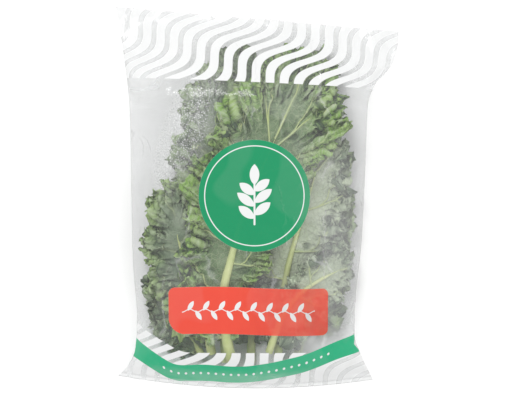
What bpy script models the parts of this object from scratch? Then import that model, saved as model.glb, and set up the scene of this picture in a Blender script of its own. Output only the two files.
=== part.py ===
"""A bunch of curly kale in an open-topped, clear produce sleeve, lying on its back.

Eight whole leaves, each a ruffled blade grown round its own stem and midrib, are packed in layers inside one
thin film sleeve. +X is to the right of the printed face, +Y runs from the sealed bottom to the open mouth and
+Z points up out of the printed face. The origin is under the middle of the sleeve, on the surface it lies on.
Lengths are in metres.
"""

from dataclasses import dataclass
import math

import bmesh
import bpy
import numpy as np

# The sleeve: where its two side creases run and how thick it is, from the sealed bottom (0) to the mouth (1)
SLEEVE_LENGTH = 0.3368
MOUTH_WIDTH = 0.2494
MOUTH_DROP = 0.0218  # how much lower the mouth's right corner is than its left one
BOTTOM_BELLY = 0.0114  # how far the bottom edge bows out at its middle
SLEEVE_THICKNESS = 0.0760
LEFT_CREASE = (
    (0.00, -0.1229), (0.03, -0.1150), (0.08, -0.1075), (0.16, -0.1054), (0.32, -0.1089),
    (0.72, -0.1116), (0.86, -0.1168), (1.00, -0.1247),
)
RIGHT_CREASE = (
    (0.00, 0.1019), (0.03, 0.0975), (0.08, 0.0905), (0.14, 0.0850), (0.22, 0.0855), (0.40, 0.0910),
    (0.60, 0.0940), (0.78, 0.0965), (0.84, 0.1030), (0.90, 0.1180), (0.96, 0.1235), (1.00, 0.1247),
)
THICKNESS_SHARE = (
    (0.00, 0.035), (0.02, 0.180), (0.05, 0.400), (0.10, 0.570), (0.18, 0.710), (0.32, 0.870), (0.50, 0.970),
    (0.62, 1.000), (0.76, 0.900), (0.86, 0.640), (0.93, 0.340), (0.97, 0.160), (1.00, 0.080),
)
SHOULDER = ((0.00, 1.50), (0.06, 0.95), (0.18, 0.58), (0.50, 0.46), (0.76, 0.52), (0.88, 0.90), (1.00, 1.50))
CROWN, TURN = 2.4, 2.2  # how square the front's crown and the back's turn up to the creases are
CREASE_LIFT = 0.34  # height of the side creases, as a share of the thickness
CREASE_EDGE = 0.0024  # thickness of the sleeve along its creases and its seal
FLAT_SHARE = 0.62  # share of the width that lies flat on the surface
FILM = 0.0007
FILM_RINGS = (0, .012, .03, .055, .09, .13, .18, .24, .31, .38, .45, .52, .59, .66, .73, .79, .84, .88, .92, .96, 1)
FILM_COLUMNS = (-1, -.94, -.82, -FLAT_SHARE, -.44, -.26, -.09, .09, .26, .44, FLAT_SHARE, .82, .94, 1)

# The bunch, inside the sleeve
CLEARANCE = 0.0013  # least gap between a leaf and the film
REACH_ACROSS = (0.74, 0.94)  # from the first share of the half width a leaf is pressed in, to stay under the second
REACH_ALONG = (0.86, 0.955)
EDGE_MARGIN = 1.04  # a leaf's room is measured this much nearer the creases than it is
BLADE = 0.0008
RUFFLE_LENGTH = 0.028
RUFFLE_START = 0.22  # share of the way from midrib to margin where the ruffles begin
RUFFLE_FILL = 0.94  # share of its layer's depth that a ruffle fills
LOBE_DEPTH, SCALLOP_DEPTH = 0.12, 0.06  # unevenness of the margin in plan, as shares of the reach
LOBES_A_SIDE = 4.2
SIDE_RIB = 0.0011  # how far the side ribs stand out of the underside
FAN = math.radians(104)  # how far the ribs have turned from the tip's direction at the blade's foot
FAN_OPENING = 0.62  # below 1, they turn faster near the tip
ROWS = (0.0, 0.36, 0.66, 0.86, 1.0)
STEM_STEPS = 15
STEM_END_SHARE = 0.24  # radius of the midrib at its tip, as a share of the cut end's
RIB_SINK = 0.30  # how far the midrib stands out of the underside, as a share of its radius


@dataclass
class Leaf:
    midrib: tuple  # plan from the cut end to the tip
    layer: tuple  # the blade keeps between these shares of the depth inside the sleeve
    reach: tuple  # how far the blade reaches to the left and right of the midrib
    tip: float  # how far it reaches past the midrib's tip
    foot: tuple  # share of the reach that is left at the blade's foot, on either side
    bare: float  # share of the midrib that is bare stem
    stem: float  # radius at the cut end
    columns: int  # columns of the blade from tip to foot
    seed: int
    waist: tuple = ((0.55, 1.0), (0.55, 1.0))  # on either side, where it narrows and the share of reach left
    underside_up: bool = False


# Back to front
LEAVES = {
    "kale_leaf_1_back_centre": Leaf(
        midrib=((-0.006, -0.146), (-0.004, -0.080), (0.000, 0.000), (-0.008, 0.062), (-0.012, 0.088)),
        layer=(0.00, 0.20), reach=(0.052, 0.050), tip=0.052, foot=(0.50, 0.50), bare=0.08, stem=0.0040,
        columns=36, seed=3),
    "kale_leaf_2_back_right": Leaf(
        midrib=((0.034, -0.142), (0.045, -0.095), (0.054, -0.045), (0.057, 0.005), (0.054, 0.034)),
        layer=(0.22, 0.46), reach=(0.040, 0.035), tip=0.032, foot=(0.35, 0.80), bare=0.15, stem=0.0038,
        columns=31, seed=11),
    "kale_leaf_3_back_left": Leaf(
        midrib=((-0.028, -0.144), (-0.032, -0.090), (-0.040, -0.020), (-0.042, 0.040), (-0.041, 0.076)),
        layer=(0.23, 0.475), reach=(0.036, 0.044), tip=0.041, foot=(0.30, 0.25), bare=0.24, stem=0.0039,
        columns=37, seed=23),
    "kale_leaf_4_low_left": Leaf(
        midrib=((-0.048, -0.140), (-0.060, -0.120), (-0.073, -0.099), (-0.081, -0.083)),
        layer=(0.05, 0.42), reach=(0.026, 0.024), tip=0.022, foot=(0.60, 0.50), bare=0.12, stem=0.0032,
        columns=18, seed=31),
    "kale_leaf_5_left": Leaf(
        midrib=((-0.040, -0.136), (-0.047, -0.100), (-0.059, -0.066), (-0.069, -0.034), (-0.071, -0.012)),
        layer=(0.50, 0.735), reach=(0.038, 0.042), tip=0.027, foot=(0.60, 0.35), bare=0.12, stem=0.0040,
        columns=30, seed=47),
    "kale_leaf_6_right": Leaf(
        midrib=((0.018, -0.140), (0.020, -0.100), (0.026, -0.062), (0.037, -0.022), (0.048, 0.014), (0.053, 0.030)),
        layer=(0.50, 0.735), reach=(0.036, 0.042), tip=0.030, foot=(0.35, 0.45), bare=0.14, stem=0.0038,
        columns=33, seed=59, underside_up=True),
    "kale_leaf_7_low_right": Leaf(
        midrib=((0.010, -0.134), (0.020, -0.106), (0.036, -0.084), (0.056, -0.070), (0.073, -0.062)),
        layer=(0.765, 1.00), reach=(0.032, 0.028), tip=0.013, foot=(0.40, 0.70), bare=0.12, stem=0.0034,
        columns=21, seed=67, waist=((0.48, 0.48), (0.55, 1.0)), underside_up=True),
    "kale_leaf_8_front": Leaf(
        midrib=((-0.022, -0.145), (-0.027, -0.120), (-0.030, -0.090), (-0.022, -0.050), (-0.006, 0.002),
                (0.009, 0.036), (0.015, 0.050)),
        layer=(0.765, 1.00), reach=(0.070, 0.066), tip=0.092, foot=(0.34, 0.24), bare=0.12, stem=0.0047,
        columns=44, seed=71, waist=((0.55, 0.70), (0.46, 0.54)), underside_up=True),
}

# Finishes: colour, roughness and, for the film, how much of it shows
LEAF_TOP = ((0.085, 0.170, 0.060), 0.62, 1.0)
LEAF_UNDERSIDE = ((0.220, 0.320, 0.170), 0.66, 1.0)
STEM_SKIN = ((0.520, 0.580, 0.270), 0.48, 1.0)
FILM_CLEAR = ((0.860, 0.880, 0.900), 0.16, 0.24)


def through(knots, at):
    """A smooth curve through (place, value) knots that never swings past them, read at the places given."""
    places, values = np.array(knots, float).T
    steps = np.diff(places)
    slopes = np.diff(values) / steps
    flat = slopes[:-1] * slopes[1:] <= 0
    mean = 2 * slopes[:-1] * slopes[1:] / np.where(flat, 1, slopes[:-1] + slopes[1:])
    tangents = np.concatenate([slopes[:1], np.where(flat, 0, mean), slopes[-1:]])
    at = np.clip(at, places[0], places[-1])
    i = np.clip(np.searchsorted(places, at, side="right") - 1, 0, len(steps) - 1)
    t = (at - places[i]) / steps[i]
    h = steps[i]
    return (
        values[i] * (1 + 2 * t) * (1 - t) ** 2
        + values[i + 1] * t * t * (3 - 2 * t)
        + h * tangents[i] * t * (1 - t) ** 2
        - h * tangents[i + 1] * t * t * (1 - t)
    )


def smooth_step(low, high, at):
    t = np.clip((at - low) / (high - low), 0, 1)
    return t * t * (3 - 2 * t)


def bottom_y(x):
    return -SLEEVE_LENGTH / 2 + BOTTOM_BELLY * (x / (MOUTH_WIDTH / 2)) ** 2


def mouth_y(x):
    return SLEEVE_LENGTH / 2 - MOUTH_DROP * (x / MOUTH_WIDTH + 0.5)


def half_width(v):
    return (through(RIGHT_CREASE, v) - through(LEFT_CREASE, v)) / 2


def middle_x(v):
    return (through(RIGHT_CREASE, v) + through(LEFT_CREASE, v)) / 2


def sleeve_plan(u, v):
    """Plan of the point at u across (-1 to 1) and v along (0 to 1)."""
    x = middle_x(v) + u * half_width(v)
    return x, bottom_y(x) + v * (mouth_y(x) - bottom_y(x))


def sleeve_place(x, y):
    """The (u, v) of a point in plan."""
    v = np.clip((y - bottom_y(x)) / (mouth_y(x) - bottom_y(x)), 0, 1)
    return (x - middle_x(v)) / half_width(v), v


def front_height(u, v):
    """Height of the printed face's outside."""
    thickness = SLEEVE_THICKNESS * through(THICKNESS_SHARE, v)
    crease = np.maximum(CREASE_LIFT * thickness, CREASE_EDGE / 2) + CREASE_EDGE / 2
    swell = (1 - np.clip(np.abs(u), 0, 1) ** CROWN) ** through(SHOULDER, v)
    return crease + np.maximum(thickness - crease, 0) * swell


def back_height(u, v):
    """Height of the back's outside, which lies flat in the middle and lifts to the creases."""
    thickness = SLEEVE_THICKNESS * through(THICKNESS_SHARE, v)
    crease = np.maximum(CREASE_LIFT * thickness, CREASE_EDGE / 2) - CREASE_EDGE / 2
    turned = np.clip((np.abs(u) - FLAT_SHARE) / (1 - FLAT_SHARE), 0, 1)
    return crease * (1 - np.sqrt(np.clip(1 - turned**TURN, 0, 1)))


def pressed(value, limits):
    """Keeps a distance below limits[1]: it is squeezed from limits[0] on."""
    start, most = limits
    over = np.maximum(np.abs(value) - start, 0)
    return np.sign(value) * (np.minimum(np.abs(value), start) + (most - start) * np.tanh(over / (most - start)))


def packed_plan(x, y):
    """A plan point pressed into the sleeve, with its place there: x, y, u and v."""
    u, v = sleeve_place(x, y)
    u, v = pressed(u, REACH_ACROSS), pressed(v, REACH_ALONG)
    return *sleeve_plan(u, v), u, v


def inside(x, y, share):
    """A point of the bunch: its plan pressed into the sleeve, at a share of the depth inside."""
    x, y, u, v = packed_plan(x, y)
    low = back_height(u * EDGE_MARGIN, v) + FILM + CLEARANCE
    high = front_height(u * EDGE_MARGIN, v) - FILM - CLEARANCE
    return np.stack([x, y, low + share * (high - low)], axis=-1)


def lengths_along(points):
    """Distance of each point from the first, along the line through them."""
    return np.concatenate([[0], np.cumsum(np.linalg.norm(np.diff(points, axis=0), axis=1))])


def midrib_plan(leaf, places):
    """Points in plan at the given shares of the way along a leaf's midrib, and the direction at each."""
    plan = np.array(leaf.midrib)
    knots = lengths_along(plan)
    fine = np.linspace(0, knots[-1], 400)
    line = np.stack([through(np.stack([knots, plan[:, k]], axis=1), fine) for k in (0, 1)], axis=1)
    ahead = np.gradient(line, axis=0)
    ahead /= np.linalg.norm(ahead, axis=1)[:, None]
    run = lengths_along(line)
    at = places * run[-1]
    return [np.stack([np.interp(at, run, each[:, k]) for k in (0, 1)], axis=1) for each in (line, ahead)]


def stem_radius(leaf, place):
    return leaf.stem * (1 - (1 - STEM_END_SHARE) * place**1.1)


def midrib_height(leaf, points, radius):
    """Height of the midrib's middle: the middle of the leaf's layer, and never so near the film as to touch it."""
    low, middle, high = (inside(points[:, 0], points[:, 1], share)[:, 2] for share in (0, sum(leaf.layer) / 2, 1))
    return np.clip(middle, low + radius, np.maximum(high - 1.5 * radius, low + radius))


def margin_reach(leaf, side, share):
    """How far the margin is from the midrib, from the tip (share 0) to the foot (share 1) of one side."""
    reach, foot = leaf.reach[side], leaf.foot[side]
    narrows, waist = leaf.waist[side]
    knots = ((0.0, leaf.tip), (0.30, 0.95 * reach), (narrows, (0.2 + 0.8 * waist) * reach),
             (0.80, waist * (0.55 + 0.45 * foot) * reach), (1.0, foot * reach))
    return through(knots, share)


def leaf_sheet(leaf):
    """The blade's middle surface: its points by column and row. Columns run from the left foot round the tip to
    the right foot, and rows from the midrib out to the margin."""
    column = np.arange(-leaf.columns, leaf.columns + 1)
    share, side = np.abs(column) / leaf.columns, np.sign(column)
    place = 1 - (1 - leaf.bare) * share**1.25
    root, forward = midrib_plan(leaf, place)
    across = np.stack([forward[:, 1], -forward[:, 0]], axis=1)
    turn = FAN * share**FAN_OPENING * side
    heading = np.cos(turn)[:, None] * forward + np.sin(turn)[:, None] * across

    # The margin, with its lobes and a scallop at each ruffle
    turns = np.random.default_rng(leaf.seed).uniform(0, 2 * np.pi, 3)
    reach = np.where(side < 0, margin_reach(leaf, 0, share), margin_reach(leaf, 1, share))
    lobes = LOBE_DEPTH * np.sin(2 * np.pi * LOBES_A_SIDE * share + turns[0] + side)
    reach = reach * (1 + lobes * smooth_step(0.03, 0.12, share))
    run = lengths_along(root + reach[:, None] * heading)
    uneven = 0.5 * np.sin(run / 0.041 + turns[1]) + 0.4 * np.sin(run / 0.023 + turns[2])
    phase = 2 * np.pi * run / RUFFLE_LENGTH + uneven
    reach = reach * (1 + SCALLOP_DEPTH * np.sin(phase + 1.2))

    # The ruffles fill the leaf's layer, and a side rib runs out to each
    rows = np.array(ROWS)
    plan = root[:, None] + rows[None, :, None] * (reach[:, None] * heading)[:, None]
    low, high = leaf.layer
    ruffle = RUFFLE_FILL * smooth_step(RUFFLE_START, 1.0, rows)[None, :] * np.sin(phase)[:, None]
    points = inside(plan[..., 0], plan[..., 1], (low + high) / 2 + (high - low) / 2 * ruffle)
    rib = np.maximum(np.cos(phase), 0) ** 3
    out = 1 if leaf.underside_up else -1
    points[..., 2] += out * SIDE_RIB * rib[:, None] * np.sin(np.pi * rows)[None, :]
    middle = inside(root[:, 0], root[:, 1], (low + high) / 2)[:, 2]
    lift = midrib_height(leaf, root, stem_radius(leaf, place)) - middle
    points[..., 2] += lift[:, None] * (1 - rows[None, :]) ** 1.6
    return points


def collection(name, hidden=False):
    made = bpy.data.collections.new(name)
    made.hide_render = hidden
    bpy.context.scene.collection.children.link(made)
    return made


def finish(name, colour, roughness, shows):
    material = bpy.data.materials.new(name)
    material.use_nodes = True
    shader = material.node_tree.nodes["Principled BSDF"]
    shader.inputs["Base Color"].default_value = (*colour, 1)
    shader.inputs["Roughness"].default_value = roughness
    shader.inputs["Metallic"].default_value = 0.0
    shader.inputs["Alpha"].default_value = shows
    material.diffuse_color = (*colour, shows)
    return material


def keep(mesh, name, home):
    """A new object in a collection, from a finished bmesh."""
    bmesh.ops.recalc_face_normals(mesh, faces=mesh.faces)
    data = bpy.data.meshes.new(name)
    mesh.to_mesh(data)
    mesh.free()
    made = bpy.data.objects.new(name, data)
    home.objects.link(made)
    return made


def sheet_object(name, leaf, home):
    """The open sheet of a blade as triangles, split alike, so that its two faces never cross."""
    points = leaf_sheet(leaf)
    columns, rows = points.shape[:2]
    tip = columns // 2
    mesh = bmesh.new()
    midrib = [mesh.verts.new(point) for point in points[tip:, 0]]
    grid = [[midrib[abs(c - tip)]] + [mesh.verts.new(point) for point in points[c, 1:]] for c in range(columns)]
    for c in range(columns - 1):
        for r in range(rows - 1):
            near, far = grid[c], grid[c + 1]
            if c < tip:
                mesh.faces.new((near[r], near[r + 1], far[r]))
                mesh.faces.new((near[r + 1], far[r + 1], far[r]))
            else:
                mesh.faces.new((near[r], near[r + 1], far[r + 1]))
                mesh.faces.new((near[r], far[r + 1], far[r]))
    return keep(mesh, name, home)


def stem_object(name, leaf, home):
    """The cut stem and the midrib that it becomes: a tapering round rod, closed at both ends."""
    place = np.linspace(0, 1, STEM_STEPS)
    points, _ = midrib_plan(leaf, place)
    x, y, _, _ = packed_plan(points[:, 0], points[:, 1])
    radius = stem_radius(leaf, place)
    out = 1 if leaf.underside_up else -1
    bladed = smooth_step(leaf.bare - 0.1, leaf.bare + 0.1, place)
    z = midrib_height(leaf, points, radius) + out * RIB_SINK * radius * bladed
    curve = bpy.data.curves.new(name, "CURVE")
    curve.dimensions = "3D"
    curve.bevel_depth = 1.0
    curve.bevel_resolution = 2
    curve.use_fill_caps = True
    spline = curve.splines.new("POLY")
    spline.points.add(STEM_STEPS - 1)
    for point, *centre, size in zip(spline.points, x, y, z, radius):
        point.co = (*centre, 1)
        point.radius = size
    rod = bpy.data.objects.new(name, curve)
    home.objects.link(rod)
    bpy.context.view_layer.update()
    mesh = bmesh.new()
    mesh.from_mesh(bpy.data.meshes.new_from_object(rod.evaluated_get(bpy.context.evaluated_depsgraph_get())))
    bpy.data.objects.remove(rod)
    bmesh.ops.remove_doubles(mesh, verts=mesh.verts, dist=1e-6)
    made = keep(mesh, name, home)
    made.hide_render = True
    made.display_type = "WIRE"
    return made


def grow_leaf(name, leaf, home, helpers, blade_finish, stem_finish):
    """One whole leaf: the ruffled blade, thickened, with its stem and midrib joined to it."""
    blade = sheet_object(name, leaf, home)
    blade.data.materials.append(blade_finish)
    blade.data.materials.append(stem_finish)
    thicken = blade.modifiers.new("Blade thickness", "SOLIDIFY")
    thicken.thickness = BLADE
    thicken.offset = 0
    stem = stem_object(name + "_stem", leaf, helpers)
    stem.data.materials.append(stem_finish)
    join = blade.modifiers.new("Stem and midrib", "BOOLEAN")
    join.operation = "UNION"
    join.object = stem
    join.material_mode = "TRANSFER"


def sleeve_object(name, home, film_finish):
    """The sleeve: one sheet of film, sealed at the bottom and open at the mouth, given its thickness inwards."""
    mesh = bmesh.new()
    rings = []
    for v in FILM_RINGS:
        loop = [(*sleeve_plan(u, v), front_height(u, v)) for u in FILM_COLUMNS]
        loop += [(*sleeve_plan(u, v), back_height(u, v)) for u in reversed(FILM_COLUMNS)]
        rings.append([mesh.verts.new(point) for point in loop])
    for near, far in zip(rings, rings[1:]):
        for i in range(len(near)):
            k = (i + 1) % len(near)
            mesh.faces.new((near[i], near[k], far[k]))
            mesh.faces.new((near[i], far[k], far[i]))
    seal = rings[0]
    for i in range(len(FILM_COLUMNS) - 1):
        mesh.faces.new((seal[i], seal[i + 1], seal[-2 - i], seal[-1 - i]))
    sleeve = keep(mesh, name, home)
    sleeve.data.shade_smooth()
    sleeve.data.materials.append(film_finish)
    wall = sleeve.modifiers.new("Film thickness", "SOLIDIFY")
    wall.thickness = FILM
    wall.offset = -1


def main():
    for old in list(bpy.data.objects):
        bpy.data.objects.remove(old)
    home = collection("Kale bunch in its sleeve")
    helpers = collection("Stems to join", hidden=True)
    top = finish("Leaf upper side", *LEAF_TOP)
    underside = finish("Leaf underside", *LEAF_UNDERSIDE)
    stem = finish("Stem skin", *STEM_SKIN)
    for name, leaf in LEAVES.items():
        grow_leaf(name, leaf, home, helpers, underside if leaf.underside_up else top, stem)
    sleeve_object("film_sleeve", home, finish("Clear film", *FILM_CLEAR))


main()
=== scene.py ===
"""Looks of a bunch of curly kale in a printed, open-topped produce sleeve that lies on its back.

The values and functions of the sleeve and of the leaves' places are the solids' own: they keep each leaf in
its layer inside the sleeve. The rest grows the fine blades, with their ruffles, ribs and veins, blows up the
film with its creases and prints it. +X is to the right of the printed face, +Y runs to the open mouth and +Z
comes out of the print. Lengths are in metres.
"""
from dataclasses import dataclass
import math

import bpy
import numpy as np
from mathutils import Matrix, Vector


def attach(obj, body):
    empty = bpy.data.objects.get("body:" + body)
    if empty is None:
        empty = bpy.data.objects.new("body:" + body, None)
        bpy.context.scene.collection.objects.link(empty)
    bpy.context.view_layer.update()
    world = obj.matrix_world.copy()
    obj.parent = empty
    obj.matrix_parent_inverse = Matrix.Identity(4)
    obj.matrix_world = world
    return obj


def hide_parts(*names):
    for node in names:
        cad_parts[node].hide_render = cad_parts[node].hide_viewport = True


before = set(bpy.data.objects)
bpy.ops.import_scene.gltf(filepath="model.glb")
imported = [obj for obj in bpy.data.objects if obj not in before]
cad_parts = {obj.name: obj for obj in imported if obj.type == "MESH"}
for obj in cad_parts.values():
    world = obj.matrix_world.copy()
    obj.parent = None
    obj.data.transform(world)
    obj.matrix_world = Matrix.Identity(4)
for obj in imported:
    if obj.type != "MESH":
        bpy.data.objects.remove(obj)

TURN = 2 * math.pi

# The sleeve: where its two side creases run and how thick it is, from the sealed bottom (0) to the mouth (1)
SLEEVE_LENGTH = 0.3368
MOUTH_WIDTH = 0.2494
MOUTH_DROP = 0.0218  # how much lower the mouth's right corner is than its left one
BOTTOM_BELLY = 0.0114  # how far the bottom edge bows out at its middle
SLEEVE_THICKNESS = 0.0760
LEFT_CREASE = (
    (0.00, -0.1229), (0.03, -0.1150), (0.08, -0.1075), (0.16, -0.1054), (0.32, -0.1089),
    (0.72, -0.1116), (0.86, -0.1168), (1.00, -0.1247),
)
RIGHT_CREASE = (
    (0.00, 0.1019), (0.03, 0.0975), (0.08, 0.0905), (0.14, 0.0850), (0.22, 0.0855), (0.40, 0.0910),
    (0.60, 0.0940), (0.78, 0.0965), (0.84, 0.1030), (0.90, 0.1180), (0.96, 0.1235), (1.00, 0.1247),
)
THICKNESS_SHARE = (
    (0.00, 0.035), (0.02, 0.180), (0.05, 0.400), (0.10, 0.570), (0.18, 0.710), (0.32, 0.870), (0.50, 0.970),
    (0.62, 1.000), (0.76, 0.900), (0.86, 0.640), (0.93, 0.340), (0.97, 0.160), (1.00, 0.080),
)
SHOULDER = ((0.00, 1.50), (0.06, 0.95), (0.18, 0.58), (0.50, 0.46), (0.76, 0.52), (0.88, 0.90), (1.00, 1.50))
CROWN, BACK_TURN = 2.4, 2.2  # how square the front's crown and the back's turn up to the creases are
CREASE_LIFT = 0.34  # height of the side creases, as a share of the thickness
CREASE_EDGE = 0.0024  # thickness of the sleeve along its creases and its seal
FLAT_SHARE = 0.62  # share of the width that lies flat on the surface
FILM = 0.0007

# The bunch, inside the sleeve
CLEARANCE = 0.0013  # least gap between a leaf and the film
REACH_ACROSS = (0.74, 0.94)  # shares of the half width: a leaf is pressed in from one, to end by the other
REACH_ALONG = (0.86, 0.955)  # and so along the length
EDGE_MARGIN = 1.04  # a leaf's room is measured this much nearer the creases than it is
RUFFLE_LENGTH = 0.028
RUFFLE_START = 0.22  # share of the way from midrib to margin where the ruffles begin
LOBE_DEPTH, SCALLOP_DEPTH = 0.12, 0.06  # unevenness of the margin in plan, as shares of the reach
LOBES_A_SIDE = 4.2
SIDE_RIB = 0.0011  # how far the side ribs stand out of the underside
FAN = math.radians(104)  # how far the ribs have turned from the tip's direction at the blade's foot
FAN_OPENING = 0.62  # below 1, they turn faster near the tip
STEM_END_SHARE = 0.24  # radius of the midrib at its tip, as a share of the cut end's

# What the fine blades add
BLADE = 0.00045
BIG_RUFFLE = 0.66  # share of its layer's half depth that the large ruffle takes
RUFFLE_OVERHANG = 0.0026  # how far the large ruffle folds over along the margin
ROW_CROWDING = 1.3  # above 1, the rows of points crowd towards the margin
CREST_HEIGHT = 0.0030  # height of a curl at which its crest gets painted highlight and its hollows painted shade
BLISTER_SIZE, BLISTER_HEIGHT = 0.011, 0.0013
PIT_SIZE, PIT_DEPTH = 0.0105, 0.0030
VEIN_WIDTH, VEIN_RADIUS, FORK_RADIUS = 0.0016, 0.00085, 0.00012  # the last is left at the end of every fork
VEIN_ENDS, FORK_ENDS = 0.92, 0.84  # share of the way to the margin
VEIN_POINTS, FORK_POINTS = 22, 9
BRANCH_LEAVES, BRANCH_ARRIVES, BRANCH_WIDTH = 0.24, 0.85, 0.7  # shares of the way, and of a full vein's width
FORK_LEAVES, FORK_OUT, FORK_WIDTH = 0.46, 0.30, 0.42  # shares of the way, of a ruffle and of that width
VEIN_SHOWN = 0.45  # how far a vein's middle stands out of the blade, as a share of its radius
RIB_HIDDEN, RIB_SHOWN = 0.85, 0.55  # how far a midrib stands out of an underside, as a share of its radius
STEM_SIDES, VEIN_SIDES = 22, 5
FULLNESS = 1.0  # share of their paths' radius that stems and veins take

# How the leaves give way to one another
MAP_CELL, MAP_CELLS = 0.0025, 140  # of the maps in plan that say where each leaf lies
MAP_SPREAD = 4  # cells round a leaf over which its neighbours come free of it
PARTING = 0.0007  # least distance of a blade's middle from the surface that parts it from its neighbour
PARTING_EASE = 0.05  # share of the depth over which a blade is squeezed before it gets there
PARTING_FREE = 0.35  # share of the depth that the parting surface has moved off where the neighbour has ended
LAST_ROOM = 0.96  # share of the half width beyond which a blade has the room that there is at it
PRESSED_FLAT = 0.004  # share of the depth that is left of a blade's relief where it is pressed on the film

# What the fine film adds
SEAL_HEIGHT, SEAL_GAP = 0.0013, 0.0002  # height of the flat seal, and of its front over its back
SEAL_ENDS = (0.009, 0.015)  # shares of the sleeve's length between which the film leaves the seal
SEAL_STRETCH, SEAL_RINGS, BAG_RINGS = 0.08, 34, 226  # the first share of the length has rings of its own
FRONT_COLUMNS = 201
COLUMN_CROWDING = 0.90 * math.pi / 2  # the more, the closer the columns stand at the side creases
LONG_FOLD, SLANTED_FOLD = (0.021, 0.075, 0.0017), (0.017, 0.038, 0.0011)  # size across and along, and height
CROSSING_FOLD, CRUMPLE = (0.009, 0.017, 0.0006), (0.0046, 0.0062, 0.00016)
FOLD_LEVEL = 0.35  # of a fold's height is below the film's smooth shape
FOLDS_START = (0.011, 0.026)  # shares of the sleeve's length between which its folds set in
FOLDS_END = (0.95, 1.0)  # shares of the half width between which they run out
MOUTH_WAVE = 0.0019  # height of the waves along the mouth's front edge
MOUTH_WAVES = ((62, 0.8, 1.0), (131, 0.0, 0.5))  # their radians a metre, starts and shares of the height
MOUTH_WAVES_START = (0.88, 1.0)  # shares of the sleeve's length between which they grow


@dataclass
class Wave:
    """One size of wave along the margin of every blade."""
    length: float
    height: float
    swing: float  # how far it folds over along the margin, as a share of its height
    lean: float  # how far it leans outwards, as a share of its height
    sets_in: float  # share of the way to the margin in which it grows to its height
    bend: float  # how far the next larger wave bends its lines
    slant: float  # how far its lines slant on their way to the margin
    patches: tuple = (1.0, 0.0, 0.01, 0)  # its mean strength, how much that varies, size of the patches, seed
    wander: tuple = (0.0, 0.01, 0)  # how far its lines wander, size of the patches, seed


# Curls, frills and crinkles, each on the last one's surface
WAVES = (
    Wave(length=0.0125, height=0.0042, swing=0.34, lean=0.55, sets_in=0.42, bend=1.5, slant=2.2,
         patches=(0.85, 0.75, 0.019, 0), wander=(2.6, 0.015, 3)),
    Wave(length=0.0053, height=0.0028, swing=0.22, lean=0.75, sets_in=0.34, bend=1.3, slant=3.5,
         patches=(0.95, 0.60, 0.009, 4), wander=(2.2, 0.0065, 5)),
    Wave(length=0.0026, height=0.0011, swing=0.0, lean=0.80, sets_in=0.28, bend=1.2, slant=5.0),
)
CRINKLE_DELAY = 0.12  # share of the way to the margin by which crinkles set in after frills


@dataclass
class Leaf:
    midrib: tuple  # plan from the cut end to the tip
    layer: tuple  # the blade keeps between these shares of the depth inside the sleeve
    reach: tuple  # how far the blade reaches to the left and right of the midrib
    tip: float  # how far it reaches past the midrib's tip
    foot: tuple  # share of the reach that is left at the blade's foot, on either side
    bare: float  # share of the midrib that is bare stem
    stem: float  # radius at the cut end
    columns: int  # columns of the solid blade from tip to foot
    seed: int
    waist: tuple = ((0.55, 1.0), (0.55, 1.0))  # on either side, where it narrows and the share of reach left
    underside_up: bool = False
    fine: tuple = (0.00075, 40)  # spacing of the fine columns at the margin, and rows from midrib to margin
    curly: tuple = (0.40, 0.62)  # shares of the way to the margin where its curls and its frills set in
    tint: float = 0.5  # from old and dark to young and yellow-green


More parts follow.
